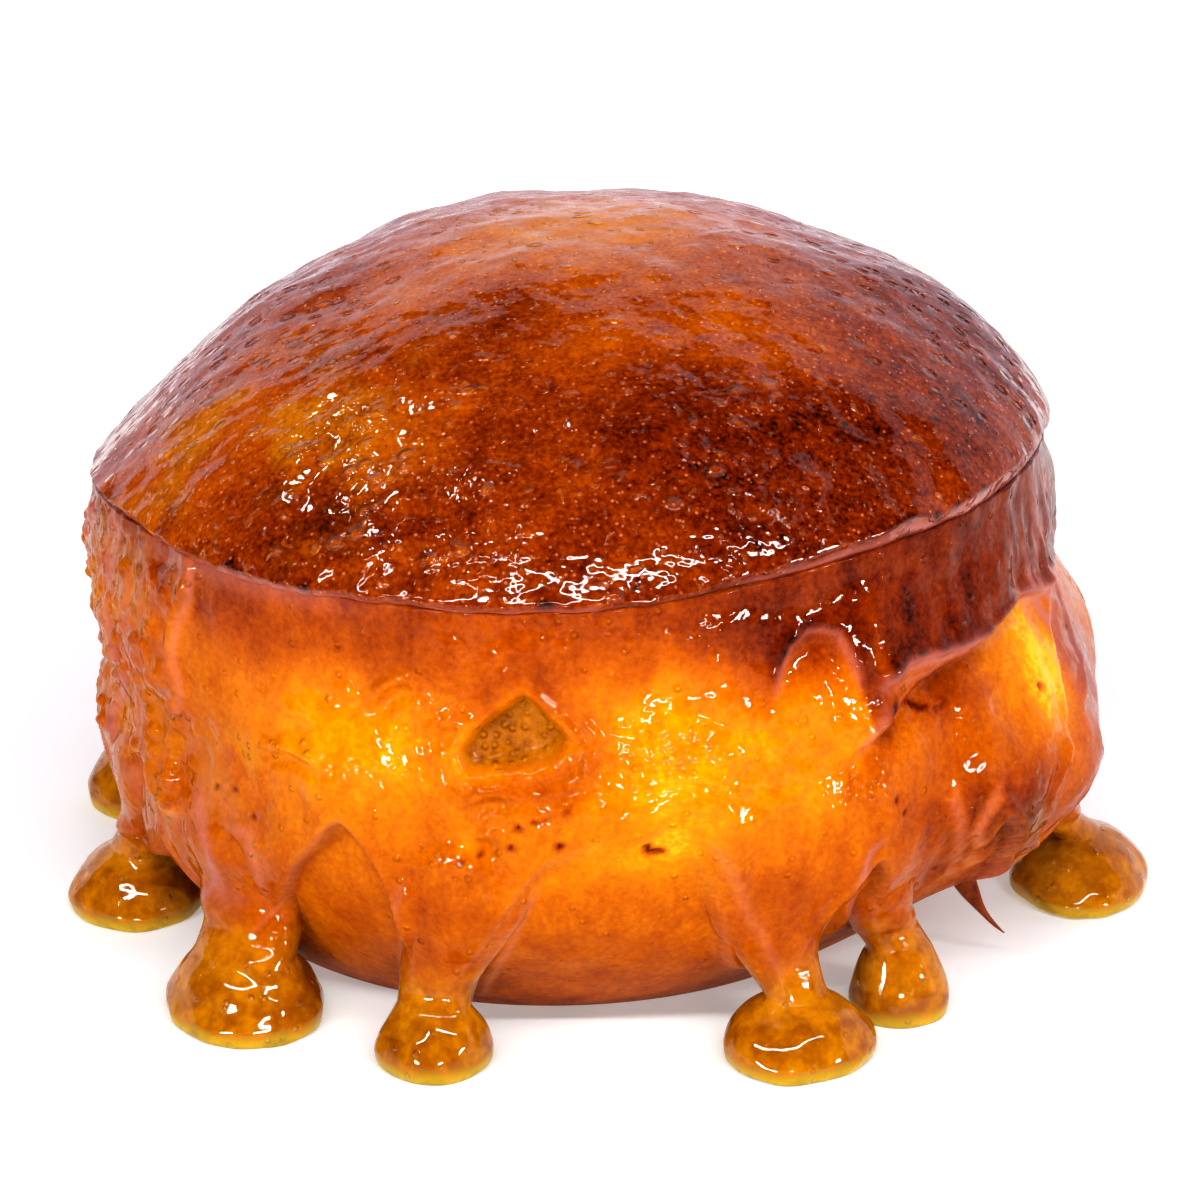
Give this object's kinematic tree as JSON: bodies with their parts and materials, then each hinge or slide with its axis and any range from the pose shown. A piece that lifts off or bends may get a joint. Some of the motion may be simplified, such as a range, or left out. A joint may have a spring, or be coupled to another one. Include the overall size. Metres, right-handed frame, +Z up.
{
  "type": "filled doughnut",
  "caption": "Whole filled doughnut coated in glossy hard caramel, with a domed dark cap, a pale belt and thick caramel runs that end in pools.",
  "frame": {"origin": "on the flat base that the doughnut rests on, under the top of its cap", "axes": "+Z up, -Y towards the front with the pocket and the two front runs, +X to the doughnut's right as seen from the front"},
  "size_m": [0.0955, 0.0869, 0.0581],
  "materials": {
    "caramel_crust": "gloss"
  },
  "bodies": {
    "root": {"doughnut": "caramel_crust"}
  },
  "joints": []
}
